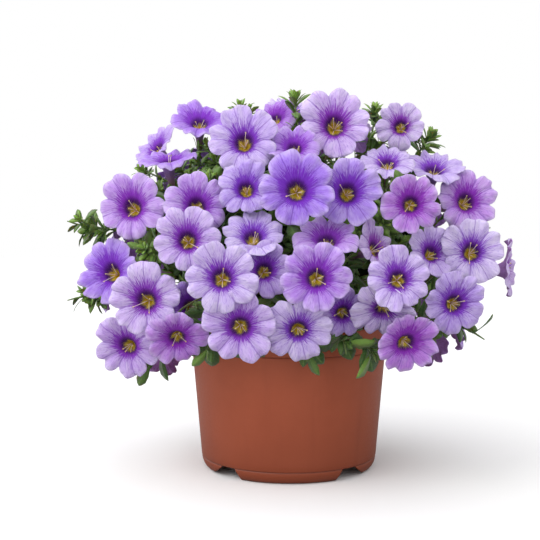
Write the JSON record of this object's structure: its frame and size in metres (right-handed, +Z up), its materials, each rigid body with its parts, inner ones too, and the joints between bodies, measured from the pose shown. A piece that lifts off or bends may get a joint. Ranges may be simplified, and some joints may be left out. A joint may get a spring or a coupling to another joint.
{
  "type": "potted flowering plant",
  "caption": "Calibrachoa in bloom: a dense dome of small lilac trumpet flowers with dark throats over leafy stems, in a round terracotta-coloured nursery pot with notched feet",
  "frame": {"origin": "the middle of the circle that the pot's feet stand on, at the ground", "axes": "+Z up the pot, -Y toward the front of the plant, +X to the right as seen from the front"},
  "size_m": [0.2794, 0.2339, 0.2284],
  "materials": {
    "pot": "satin terracotta-coloured plastic",
    "soil": "loose dark potting soil",
    "green": "soft green leaves and stems",
    "petal": "thin lilac petals, darker to the throat"
  },
  "bodies": {
    "root": {"pot": "pot", "soil": "soil", "leafy_stems": "green", "back_spray_1": "petal", "back_spray_10": "petal", "back_spray_11": "petal", "back_spray_12": "petal", "back_spray_2": "petal", "back_spray_3": "petal", "back_spray_4": "petal", "back_spray_5": "petal", "back_spray_6": "petal", "back_spray_7": "petal", "back_spray_8": "petal", "back_spray_9": "petal", "flower_1": "petal", "flower_10": "petal", "flower_11": "petal", "flower_12": "petal", "flower_13": "petal", "flower_16": "petal", "flower_17": "petal", "flower_19": "petal", "flower_2": "petal", "flower_20": "petal", "flower_21": "petal", "flower_22": "petal", "flower_23": "petal", "flower_24": "petal", "flower_28": "petal", "flower_3": "petal", "flower_30": "petal", "flower_31": "petal", "flower_33": "petal", "flower_34": "petal", "flower_36": "petal", "flower_38": "petal", "flower_4": "petal", "flower_5": "petal", "flower_6": "petal", "flower_7": "petal", "flower_8": "petal", "flower_9": "petal", "flowers_14_15": "petal", "flowers_18_27": "petal", "flowers_25_35": "petal", "flowers_26_32": "petal", "flowers_29_37": "petal", "side_flower_1": "petal", "side_flower_10": "petal", "side_flower_11": "petal", "side_flower_2": "petal", "side_flower_3": "petal", "side_flower_4": "petal", "side_flower_5": "petal", "side_flower_6": "petal", "side_flower_7": "petal", "side_flower_8": "petal", "side_flower_9": "petal"}
  },
  "joints": []
}
